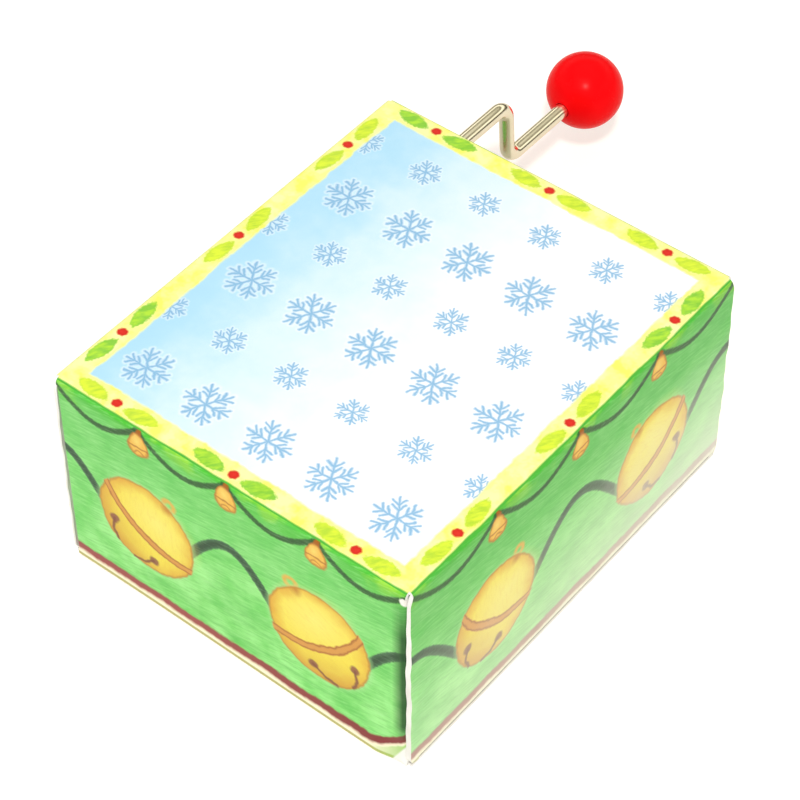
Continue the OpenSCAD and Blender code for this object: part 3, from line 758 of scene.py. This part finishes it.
def glossy_plastic(name, colour, deep, rough=0.28, shine=0.14):
    """Moulded or dipped plastic: even colour, faint flow clouds and a soft orange peel."""
    p = Paint(name)
    where = p.object_space()
    cloud, _ = p.noise(where, 160.0, 2.0, dims="3D")
    peel, _ = p.noise(where, 900.0, 2.0, dims="3D")
    p.colour = p.mix(p.ramp(cloud, 0.3, 0.75), srgb(colour), srgb(deep))
    return p.close(peel * 0.08 + rough, peel, 0.12, 0.00003, Specular_IOR_Level=shine)


def metal(name, colour, dark, rough, grain_scale, stretch=(1, 1, 1), stain=0.25, bump=0.25):
    """Worked metal: base tint, tarnish clouds, and grain stretched along one axis."""
    p = Paint(name)
    where = p.object_space()
    grain, _ = p.noise(p.stretched(where, stretch), grain_scale, 3.0, 0.6, dims="3D")
    cloud, _ = p.noise(where, 260.0, 3.0, dims="3D")
    p.colour = p.mix(p.ramp(cloud, 0.35, 0.8) * stain, srgb(colour), srgb(dark))
    p.lay(p.ramp(grain, 0.55, 0.8) * 0.25, dark)
    return p.close(grain * 0.22 + cloud * 0.1 + (rough - 0.12), grain, bump, 0.00003, Metallic=1.0)


def wood(name, pale, dark):
    """Close-grained ply, the grain along X."""
    p = Paint(name)
    where = p.object_space()
    along = p.stretched(where, (0.07, 1, 1))
    grain, _ = p.noise(along, 900.0, 4.0, 0.6, dims="3D")
    bands, _ = p.noise(along, 240.0, 2.0, dims="3D")
    p.colour = p.mix(p.ramp(bands, 0.3, 0.75), srgb(pale), srgb(dark))
    p.lay(p.ramp(grain, 0.5, 0.8) * 0.6, "8A6238")
    return p.close(grain * 0.2 + 0.5, grain, 0.4, 0.00006)


KNOB_PLASTIC = glossy_plastic("knob_plastic", "FF060E", "F3040B", 0.22, 0.05)
NYLON = glossy_plastic("white_nylon", "F1EFE6", "E4E0D2", 0.4)
NICKEL_WIRE = metal("nickel_wire", "F6EED6", "D6CAA6", 0.13, 1500.0, (1, 0.12, 0.12), 0.3, 0.05)
CAST_ZINC = metal("cast_zinc", "A9ABAD", "7F8285", 0.5, 2200.0, stain=0.5, bump=0.5)
SPRING_STEEL = metal("spring_steel", "B4B8BC", "878D93", 0.3, 1800.0, (0.1, 1, 1), 0.3)
TURNED_BRASS = metal("turned_brass", "C9A04C", "94702E", 0.28, 1700.0, (1, 0.15, 0.15), 0.4, 0.2)
ROLLED_BRASS = metal("rolled_brass", "C7A255", "8F6E33", 0.36, 1500.0, (0.15, 1, 1), 0.45, 0.2)
ZINC_SCREW = metal("zinc_screw", "BFC1BD", "8C8D86", 0.3, 2600.0, stain=0.3, bump=0.2)
LEAD_GREY = metal("weight_lead", "6E7276", "4A4D50", 0.55, 1900.0, stain=0.5, bump=0.4)
PRESSED_STEEL = metal("pressed_steel", "9EA2A6", "74787C", 0.38, 1900.0, (1, 0.2, 1), 0.35, 0.25)
BIRCH_PLY = wood("birch_ply", "D9B98A", "C49F6C")

MOVEMENT = (
    (BIRCH_PLY, "sound_board"),
    (CAST_ZINC, "bedplate"),
    (ZINC_SCREW, "bedplate_screws bedplate_washers comb_screws arbor_bracket_screws crank_frame_screws"),
    (SPRING_STEEL, "comb cylinder_arbor music_pins"),
    (LEAD_GREY, "tuning_weights"),
    (ROLLED_BRASS, "arbor_bracket"),
    (TURNED_BRASS, "cylinder_cap_left cylinder_cap_right cylinder_sleeve crank_bushes drive_worm"),
    (NYLON, "worm_wheel thrust_washers"),
    (PRESSED_STEEL, "crank_frame"),
)
FINISHES = {node: finish for finish, nodes in MOVEMENT for node in nodes.split()}


# ---- Pieces of the carton ----------------------------------------------------------------------


def arc(centre, radius, start, end, count=CORNER_STEPS):
    """Points and outward normals round an arc, angles in degrees, in whatever plane the caller works in."""
    a = np.radians(np.linspace(start, end, count + 1))
    n = np.stack([np.cos(a), np.sin(a)], 1)
    return np.array(centre) + radius * n, n


def bow(x, half):
    """One in the middle and zero from half outwards."""
    return np.cos(np.pi / 2 * np.clip(x / half, -1, 1))


def wall_section():
    """The tube's cross section as rows of (y, z, normal y, normal z), and the panel after each row."""
    r, low_r, h, d = LONG_R, LOW_R, HEIGHT, HALF_D
    wall_z = np.concatenate([steps(low_r, DUST_LOW, GRID)[:-1], steps(DUST_LOW, DUST_TOP, GRID), [h - r]])
    flat_y = steps(-d + r, d - r, GRID)
    coarse_y = steps(d - low_r, -d + low_r, 3.0)
    rows, panels = [], []

    def straight(ys, zs, normal, panel):
        for y, z in zip(ys, zs):
            rows.append((y, z, *normal))
            panels.append(panel)
        panels[-1] = None

    def corner(y_side, radius, start, before, after):
        centre = (y_side * (d - radius), h - radius if start > 0 else radius)
        pts, n = arc(centre, radius, start, start - 90)
        panels[-1] = before
        for k in range(1, len(pts) - 1):
            rows.append((*pts[k], *n[k]))
            panels.append(before if k < CORNER_STEPS // 2 else after)

    straight(np.full(len(wall_z), -d), wall_z, (-1, 0), "front")
    corner(-1, r, 180, "front", "top")
    straight(flat_y, np.full(len(flat_y), h), (0, 1), "top")
    corner(1, r, 90, "top", "rear")
    straight(np.full(len(wall_z), d), wall_z[::-1], (1, 0), "rear")
    corner(1, low_r, 0, "rear", "bottom")
    straight(coarse_y, np.zeros(len(coarse_y)), (0, -1), "bottom")
    corner(-1, low_r, -90, "bottom", "front")
    return np.array(rows), panels


def make_shell():
    rows, row_panel = wall_section()
    xs = np.concatenate([
        [-tube_hi[0] + 0.1, -TOP_END], steps(-WALL_END[-1], WALL_END[1], GRID),
        steps(WALL_END[1], TOP_END, 0.42)[1:], [tube_hi[0] - 0.1],
    ])
    y, z, ny, nz = (np.repeat(rows[:, k : k + 1], len(xs), 1) for k in range(4))
    x = np.repeat(xs[None], len(rows), 0)
    # the panels bow a little, and the walls' ends start to turn in at the lower corners
    crown = 0.16 * bow(x, TOP_END) * bow(y, HALF_D - LONG_R)
    z = z + np.where(nz > 0.99, crown, 0)
    belly = 0.12 * bow(x, WALL_END[1]) * bow(z - HEIGHT / 2, HEIGHT / 2 - LONG_R)
    # the front wall stands out a little along its lower edge, more so towards the right
    foot_bulge = 0.62 * smoothstep((x + 22) / 52) * smoothstep((WALL_END[1] - x) / 3.5)
    belly += foot_bulge * smoothstep((7 - z) / 7) * (ny < 0)
    y = y + np.where(np.abs(ny) > 0.3, ny * belly, 0)
    end_r, wall_end = (np.where(x > 0, v[1], v[-1]) for v in (END_R, WALL_END))
    past = np.clip(np.abs(x) - wall_end, 0, end_r * 0.9)
    turn_in = (end_r - np.sqrt(end_r**2 - past**2)) * smoothstep((z - 0.5) / 1.1) * (z < DUST_LOW + 0.01)
    y = y - np.where(np.abs(ny) > 0.99, np.sign(y) * turn_in, 0)
    points = np.stack([x, y, z], 2)
    normals = np.stack([np.zeros_like(ny), ny, nz], 2)

    mid_x = (xs[:-1] + xs[1:]) / 2
    nxt = np.roll(rows, -1, 0)
    mid_z = (rows[:, 1] + nxt[:, 1]) / 2
    flat_bottom = (rows[:, 1] < 1e-6) & (nxt[:, 1] < 1e-6)
    is_wall = np.array([p in ("front", "rear") for p in row_panel])
    by_dust = is_wall & (mid_z > DUST_LOW) & (mid_z < DUST_TOP)
    keep = np.ones((len(rows), len(mid_x)), bool)
    keep[np.ix_(by_dust, (mid_x > WALL_END[1]) | (mid_x < -WALL_END[-1]))] = False
    keep[np.ix_(~flat_bottom, np.abs(mid_x) > TOP_END)] = False

    rear = [i for i in range(len(rows)) if row_panel[i] == "rear" and rows[i, 2] > 0.99]
    block = HOLE_R + 1.3
    i0 = min(i for i in rear if rows[i, 1] < CRANK_Z + block)
    i1 = max(i for i in rear if rows[i, 1] > CRANK_Z - block)
    j0 = int(np.searchsorted(xs, CRANK_X - block))
    j1 = int(np.searchsorted(xs, CRANK_X + block)) - 1
    keep[i0:i1, j0:j1] = False
    skins = ["front", "top", "rear", "bottom"]
    panel = np.repeat(np.array([[skins.index(p)] for p in row_panel]), len(mid_x), 1)
    hole = (i0, i1, j0, j1, np.array([CRANK_X, HALF_D, CRANK_Z]), HOLE_R)
    shell = sheet("carton_shell", points, normals, keep, panel, skins, closed=True, hole=hole)
    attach(shell, "carton")
    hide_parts("carton_tube")
    return shell


def make_glue_flap():
    half_l, height = 15.0, 10.0
    xs, zs = steps(-half_l, half_l, 1.0), steps(0, 1, 0.1)
    low = tube_lo[2] + BOARD
    top = low + height - 2.2 * smoothstep((np.abs(xs) - half_l + 2.4) / 2.4)
    x, f = np.meshgrid(xs, zs, indexing="ij")
    z = low + f * (top[:, None] - low)
    points = np.stack([x, np.full_like(x, HALF_D - BOARD - 0.02), z], 2)
    normals = np.zeros_like(points)
    normals[..., 1] = 1
    cells = (len(xs) - 1, len(zs) - 1)
    flap = sheet("glue_flap", points, normals, np.ones(cells, bool), np.zeros(cells, int), ["blank"])
    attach(flap, "carton")


def make_lid(side, sx):
    r = TOP_R
    bend, bend_n = arc((TOP_END, HEIGHT - r), r, 90, 0)
    outer_cols = [TUCK_HALF + 0.05, 29.65, 30.05, 30.25, 30.45, 30.58, LID_HALF]
    ys = np.concatenate([-np.array(outer_cols[::-1]), steps(-TUCK_HALF, TUCK_HALF, GRID), outer_cols])
    bottom = LID_LOW + 1 - np.sqrt(1 - np.clip(np.abs(ys) - (LID_HALF - 1), 0, 1) ** 2)
    bottom = np.where(np.abs(ys) < TUCK_HALF + 0.01, TUCK_HINGE_Z, bottom)
    down = steps(0, 1, GRID / HEIGHT)[1:]
    x = np.concatenate([bend[:, 0], np.full(len(down), HALF_W)])[:, None] + 0 * ys
    straight_z = (HEIGHT - r) + down[:, None] * (bottom - (HEIGHT - r))
    z = np.concatenate([bend[:, 1][:, None] + 0 * ys, straight_z])
    nx = np.concatenate([bend_n[:, 0], np.ones(len(down))])[:, None] + 0 * ys
    nz = np.concatenate([bend_n[:, 1], np.zeros(len(down))])[:, None] + 0 * ys
    # beside the crease the lid is as narrow as the top panel's flat part
    ease = smoothstep((HEIGHT - z) / 2.0)
    wide = np.abs(ys) - (HALF_D - LONG_R)
    y = np.where(wide > 0, np.sign(ys) * (HALF_D - LONG_R + wide * (0.06 + 0.94 * ease)), ys + 0 * z)
    # a slight belly, and raw edges that are not quite straight
    f = np.clip((HEIGHT - r - z) / (HEIGHT - r - TUCK_HINGE_Z), 0, 1)
    x = x + 0.14 * np.sin(np.pi * f) * np.cos(np.pi * y / DEPTH)
    at_edge = smoothstep((np.abs(y) - 26.5) / 4) * np.sin(np.pi * f)
    x = x + at_edge * (0.07 * np.sin(0.62 * z + 0.8) + 0.05 * np.sin(1.7 * z)) + 0.05 * at_edge
    points = np.stack([sx * x, y, z], 2)
    normals = np.stack([sx * nx, 0 * nx, nz], 2)
    # lower down, the raw edges are swollen on the right and pressed thin on the left
    swell = (0.22 if sx > 0 else -0.2) * smoothstep((np.abs(y) - 30.1) / 0.3)
    board = BOARD + swell * smoothstep((HEIGHT - 1 - z) / 10)
    skins = [side, "top"]
    cells = (x.shape[0] - 1, x.shape[1] - 1)
    panel = np.zeros(cells, int)
    panel[: CORNER_STEPS // 2] = 1
    keep = np.ones(cells, bool)
    lid = sheet(side + "_lid_panel", points, normals, keep, panel, skins, thickness=board[..., None])
    sx * TOP_END * MM
    sx * HALF_W * MM
    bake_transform(lid)
    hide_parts(side + "_lid")


def make_tuck(side, sx):
    length, tilt, corner = 9.0, 6.0, 4.0
    bend, bend_n = arc((HALF_W - BOARD, TUCK_HINGE_Z), BOARD, 0, -90 - tilt)
    ys = steps(-TUCK_HALF, TUCK_HALF, 1.0)
    half_tip = TUCK_HALF - 2
    past = np.clip(np.abs(ys) - (TUCK_HALF - corner), 0, corner)
    reach = length - (corner - np.sqrt(corner**2 - past**2))
    s = np.linspace(0, 1, 13)[1:, None] * reach
    direction = (-math.cos(math.radians(tilt)), math.sin(math.radians(tilt)))
    x = np.concatenate([bend[:, 0][:, None] + 0 * ys, bend[-1, 0] + s * direction[0]])
    z = np.concatenate([bend[:, 1][:, None] + 0 * ys, bend[-1, 1] + s * direction[1]])
    narrowing = 1 - (1 - half_tip / TUCK_HALF) * s / length
    y = np.concatenate([np.repeat(ys[None], len(bend), 0), ys * narrowing])
    nx = np.concatenate([bend_n[:, 0], np.full(12, bend_n[-1, 0])])[:, None] + 0 * ys
    nz = np.concatenate([bend_n[:, 1], np.full(12, bend_n[-1, 1])])[:, None] + 0 * ys
    points = np.stack([sx * x, y, z], 2)
    normals = np.stack([sx * nx, 0 * nx, nz], 2)
    cells = (x.shape[0] - 1, x.shape[1] - 1)
    panel = np.ones(cells, int)
    panel[: CORNER_STEPS - 1] = 0
    tuck = sheet(side + "_tuck", points, normals, np.ones(cells, bool), panel, [side, "blank"])
    sx * HALF_W * MM
    sx * (HALF_W - 1.1 * BOARD) * MM
    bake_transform(tuck)
    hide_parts(side + "_tuck_flap")


def make_dust(side, sx, wall, sy):
    r, tip_r = END_R[sx], 3.0
    bend, bend_n = arc((WALL_END[sx], -HALF_D + r), r, -90, 0)
    along = steps(-HALF_D + r, DUST_TIP_Y, 0.8)[1:]
    along = np.append(along[:-1], [DUST_TIP_Y - 0.3, DUST_TIP_Y - 0.08, DUST_TIP_Y])
    x = np.concatenate([bend[:, 0], np.full(len(along), DUST_X)])
    y = np.concatenate([bend[:, 1], along])
    nx = np.concatenate([bend_n[:, 0], np.ones(len(along))])
    ny = np.concatenate([bend_n[:, 1], np.zeros(len(along))])
    share = np.clip((y + HALF_D) / (DUST_TIP_Y + HALF_D), 0, 1)
    round_off = tip_r - np.sqrt(tip_r**2 - np.clip(y - (DUST_TIP_Y - tip_r), 0, tip_r) ** 2)
    low = DUST_LOW + 3.0 * share + round_off
    top = DUST_TOP - 0.27 * (DUST_TIP_Y + HALF_D) * share - round_off
    f = np.linspace(0, 1, 29)
    z = low[:, None] + f * (top - low)[:, None]
    full = lambda v: np.repeat(v[:, None], len(f), 1)
    flare = full(0.1 * smoothstep((y + HALF_D - 4) / 16))
    points = np.stack([sx * (full(x) - flare), -sy * full(y), z], 2)
    normals = np.stack([sx * full(nx), -sy * full(ny), 0 * z], 2)
    cells = (z.shape[0] - 1, z.shape[1] - 1)
    panel = np.ones(cells, int)
    panel[: CORNER_STEPS + 1] = 0
    name = f"{side}_dust_{wall}"
    dust = sheet(name, points, normals, np.ones(cells, bool), panel, [wall, "blank"])
    sx * WALL_END[sx] * MM
    sy * HALF_D * MM
    sx * DUST_X * MM
    sy * (HALF_D - r) * MM
    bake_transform(dust)
    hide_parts(f"{side}_dust_flap_{wall}")


# ---- Crank -------------------------------------------------------------------------------------


def skin_rings(rings):
    """Faces between neighbouring rings of vertex numbers; a ring of one vertex is a tip."""
    faces = []
    for p, q in zip(rings[:-1], rings[1:]):
        for k in range(max(len(p), len(q))):
            m = (k + 1) % max(len(p), len(q))
            if len(p) == 1:
                faces.append([p[0], q[m], q[k]])
            elif len(q) == 1:
                faces.append([p[k], p[m], q[0]])
            else:
                faces.append([p[k], p[m], q[m], q[k]])
    return faces


def lathe(name, profile, centre, segments, material):
    """Turns a closed-ended profile of (distance along Y, radius) round the Y axis through centre."""
    verts, rings = [], []
    for dy, r in profile:
        if r < 1e-6:
            rings.append([len(verts)])
            verts.append((centre[0], centre[1] + dy, centre[2]))
            continue
        rings.append(list(range(len(verts), len(verts) + segments)))
        for k in range(segments):
            a = 2 * math.pi * k / segments
            verts.append((centre[0] + r * math.cos(a), centre[1] + dy, centre[2] + r * math.sin(a)))
    obj = new_object(name, verts, skin_rings(rings), [material])
    obj.data.set_sharp_from_angle(angle=math.radians(45))
    return obj


def make_knob():
    bore, mouth, deep = WIRE_R + 0.04, 1.1, 0.3
    rim = 0.1  # radius of the rounded lip round the mouth
    lip_y = -math.sqrt(KNOB_R**2 - (mouth + rim) ** 2)
    profile = [(2.2, 0.0), (2.2, bore), (-KNOB_R + deep, bore)]
    profile += [(-KNOB_R + deep * (1 - t), bore + (mouth - bore) * t) for t in (0.35, 0.7, 0.92)]
    profile += [(lip_y - 0.05, mouth + 0.03), (lip_y - 0.03, mouth + 0.1)]
    start = math.degrees(math.asin((mouth + rim) / KNOB_R))
    profile += [(-KNOB_R * math.cos(math.radians(a)), KNOB_R * math.sin(math.radians(a)))
                for a in np.linspace(start, 180, 46)]
    profile[-1] = (KNOB_R, 0.0)
    knob = lathe("ball_knob", profile, KNOB_C, 72, KNOB_PLASTIC)
    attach(knob, "knob")
    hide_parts("crank_knob")


def make_wire():
    """The bent crank wire: a round section swept along straight runs and two bends in one plane."""
    bend_r, handle_l, tip = 2.0, 17.4, 0.25
    arm = np.array([KNOB_C[0] - CRANK_X, KNOB_C[2] - CRANK_Z])  # from the shaft to the handle, in (x, z)
    throw = np.hypot(*arm)
    down = arm / throw
    side = np.array([-down[1], down[0]])
    corner_y = KNOB_C[1] - handle_l
    quarter = np.radians(np.linspace(0, 90, 15))
    # the path as (along Y, along the arm, heading): heading 0 runs along Y and 90 degrees down the arm
    path = [(rod_lo[1], 0.0, 0.0), (rod_lo[1] + tip, 0.0, 0.0)]
    path += [(y, 0.0, 0.0) for y in steps(rod_lo[1] + 1, corner_y - bend_r, 2.0)]
    path += [(corner_y - bend_r + bend_r * math.sin(a), bend_r * (1 - math.cos(a)), a) for a in quarter[1:]]
    path += [(corner_y, s, math.pi / 2) for s in steps(bend_r, throw - bend_r, 1.0)[1:]]
    path += [(corner_y + bend_r * (1 - math.cos(a)), throw - bend_r + bend_r * math.sin(a), math.pi / 2 - a)
             for a in quarter[1:]]
    path += [(y, throw, 0.0) for y in steps(corner_y + bend_r, rod_hi[1] - tip, 0.5)[1:]]
    path.append((rod_hi[1], throw, 0.0))
    around = 32
    verts = []
    for k, (y, s, heading) in enumerate(path):
        r = WIRE_R - tip if k in (0, len(path) - 1) else WIRE_R
        if s == throw and abs(y - KNOB_C[1]) < 0.6:
            r = WIRE_R + 0.3  # the upset bead inside the knob
        for t in np.linspace(0, 2 * math.pi, around, endpoint=False):
            out = r * math.sin(t)
            xz = down * (s + out * math.cos(heading)) + side * r * math.cos(t)
            verts.append((CRANK_X + xz[0], y - out * math.sin(heading), CRANK_Z + xz[1]))
    rings = [list(range(i * around, (i + 1) * around)) for i in range(len(path))]
    wire = new_object("crank_wire", verts, skin_rings(rings) + [rings[0][::-1], rings[-1]], [NICKEL_WIRE])
    wire.data.set_sharp_from_angle(angle=math.radians(40))
    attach(wire, "crank")
    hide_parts("crank_rod")


# ---- Build -------------------------------------------------------------------------------------

make_shell()
make_glue_flap()
for side, sx in (("right", 1), ("left", -1)):
    make_lid(side, sx)
    make_tuck(side, sx)
    for wall, sy in (("front", -1), ("rear", 1)):
        make_dust(side, sx, wall, sy)
make_knob()
make_wire()
for node, finish in FINISHES.items():
    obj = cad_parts[node]
    obj.data.materials.clear()
    obj.data.materials.append(finish)
    obj.data.polygons.foreach_set("material_index", np.zeros(len(obj.data.polygons), np.int32))
    obj.data.set_sharp_from_angle(angle=math.radians(35))

# ---- Stage, light and camera -------------------------------------------------------------------


def make_floor():
    p = Paint("pale_floor")
    where = p.object_space()
    soft, _ = p.noise(where, 6.0, 2.0, dims="3D")
    p.colour = p.mix(soft, srgb("F4ECE2"), srgb("F9F3EA"))
    # the backdrop reads as white to the camera, but lights the object only by what falls on it
    seen = Value(p, p.node("LightPath").outputs["Is Camera Ray"])
    material = p.close(0.9, Emission_Color=(1, 1, 1, 1), Emission_Strength=seen * 0.3)
    far = 3000.0
    corners = [(-far, -far, 0), (far, -far, 0), (far, far, 0), (-far, far, 0)]
    floor = new_object("floor", corners, [[0, 1, 2, 3]], [material])


def soft_light(name, place, target, size, power):
    data = bpy.data.lights.new(name, "AREA")
    data.shape, data.size, data.energy = "RECTANGLE", size, power
    data.size_y = size
    obj = bpy.data.objects.new(name, data)
    obj.location = Vector(place) * MM
    obj.rotation_mode = "QUATERNION"
    obj.rotation_quaternion = (Vector(target) - Vector(place)).to_track_quat("-Z", "Y")
    bpy.context.scene.collection.objects.link(obj)


def light_world(tree, strength):
    """Even white light; mirror-like metal sees a studio of bright panels over a dark horizon instead."""
    background = tree.nodes["Background"]
    path = tree.nodes.new("ShaderNodeLightPath")
    where = tree.nodes.new("ShaderNodeTexCoord")
    split = tree.nodes.new("ShaderNodeSeparateXYZ")
    ramp = tree.nodes.new("ShaderNodeValToRGB")
    mix = tree.nodes.new("ShaderNodeMix")
    mix.data_type = "RGBA"
    tree.links.new(where.outputs["Generated"], split.inputs[0])
    tree.links.new(split.outputs[2], ramp.inputs[0])
    bands = ((0.0, (0.06, 0.05, 0.015, 1)), (0.2, (0.10, 0.08, 0.03, 1)), (0.36, (1.9, 1.85, 1.6, 1)),
             (0.52, (2.1, 2.05, 1.8, 1)), (0.64, (0.22, 0.20, 0.12, 1)), (0.76, (0.7, 0.66, 0.5, 1)),
             (0.9, (2.6, 2.6, 2.4, 1)))
    for place, colour in bands[1:-1]:
        ramp.color_ramp.elements.new(place).color = colour
    for end in (0, -1):
        ramp.color_ramp.elements[end].position, ramp.color_ramp.elements[end].color = bands[end]
    tree.links.new(path.outputs["Is Glossy Ray"], mix.inputs[0])
    mix.inputs[6].default_value = (1, 1, 1, 1)
    tree.links.new(ramp.outputs[0], mix.inputs[7])
    tree.links.new(mix.outputs[2], background.inputs[0])
    background.inputs[1].default_value = strength


make_floor()
soft_light("fill", (100, -350, 700), (0, 10, 10), 0.45, 0.55)
soft_light("flash", (250, -300, 596), (0, 10, 10), 0.05, 2.25)
world = bpy.data.worlds.new("studio")
bpy.context.scene.world = world
world.use_nodes = True
light_world(world.node_tree, 0.68)

VIEW_DIRECTION = Vector((-0.4268, 0.5305, -0.7324)).normalized()
VIEW_RIGHT = Vector((0.7820, 0.6232, -0.0043)).normalized()
CAMERA_PLACE = Vector((141.9, -176.3, 261.9)) * MM
camera_data = bpy.data.cameras.new("camera")
camera_data.sensor_width, camera_data.lens = 36.0, 126.1
camera_data.clip_start, camera_data.clip_end = 0.01, 20.0
camera = bpy.data.objects.new("camera", camera_data)
bpy.context.scene.collection.objects.link(camera)
up = VIEW_RIGHT.cross(VIEW_DIRECTION)
turn = Matrix((VIEW_RIGHT, up, -VIEW_DIRECTION)).transposed()
camera.matrix_world = Matrix.Translation(CAMERA_PLACE) @ turn.to_4x4()
bpy.context.scene.camera = camera
bpy.context.scene.view_settings.view_transform = "Standard"

bpy.context.view_layer.update()
